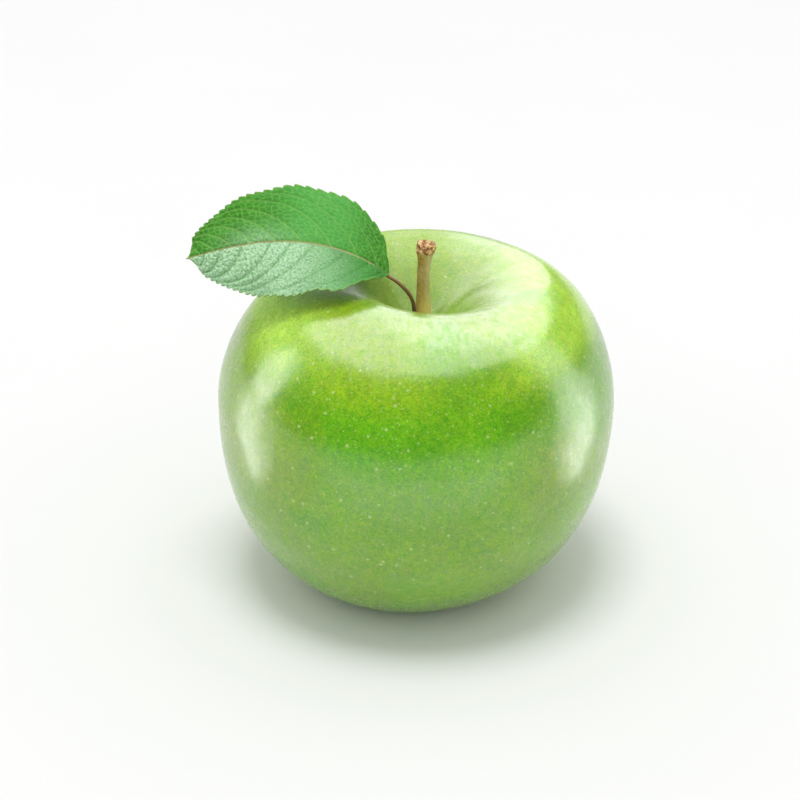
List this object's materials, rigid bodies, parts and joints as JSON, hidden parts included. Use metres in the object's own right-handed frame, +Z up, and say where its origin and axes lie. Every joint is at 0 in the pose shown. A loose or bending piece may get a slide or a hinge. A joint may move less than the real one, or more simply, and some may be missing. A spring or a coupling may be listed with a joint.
{
  "type": "green apple",
  "caption": "Fresh green apple with a woody stem, one toothed leaf on its stalk and a dried calyx underneath; rests on its flattened basal lobes.",
  "frame": {"origin": "middle of the underside of the whole apple's box, leaf included, at the level it rests on", "axes": "+Z up along the fruit's axis, from the calyx to the stem; -X towards the leaf's tip; -Y towards the front"},
  "size_m": [0.0844, 0.0796, 0.0805],
  "materials": {
    "skin": "waxy green skin with small pale dots",
    "stem": "olive-brown woody bark with a broken brown end",
    "leaf": "quilted green blade, semi-gloss, with a reddish stalk",
    "sepals": "dried, matt, downy",
    "stamens": "dried, matt"
  },
  "bodies": {
    "root": {"fruit": "skin", "stem": "stem", "leaf": "leaf", "sepal_1": "sepals", "sepal_2": "sepals", "sepal_3": "sepals", "sepal_4": "sepals", "sepal_5": "sepals", "stamens": "stamens"}
  },
  "joints": []
}
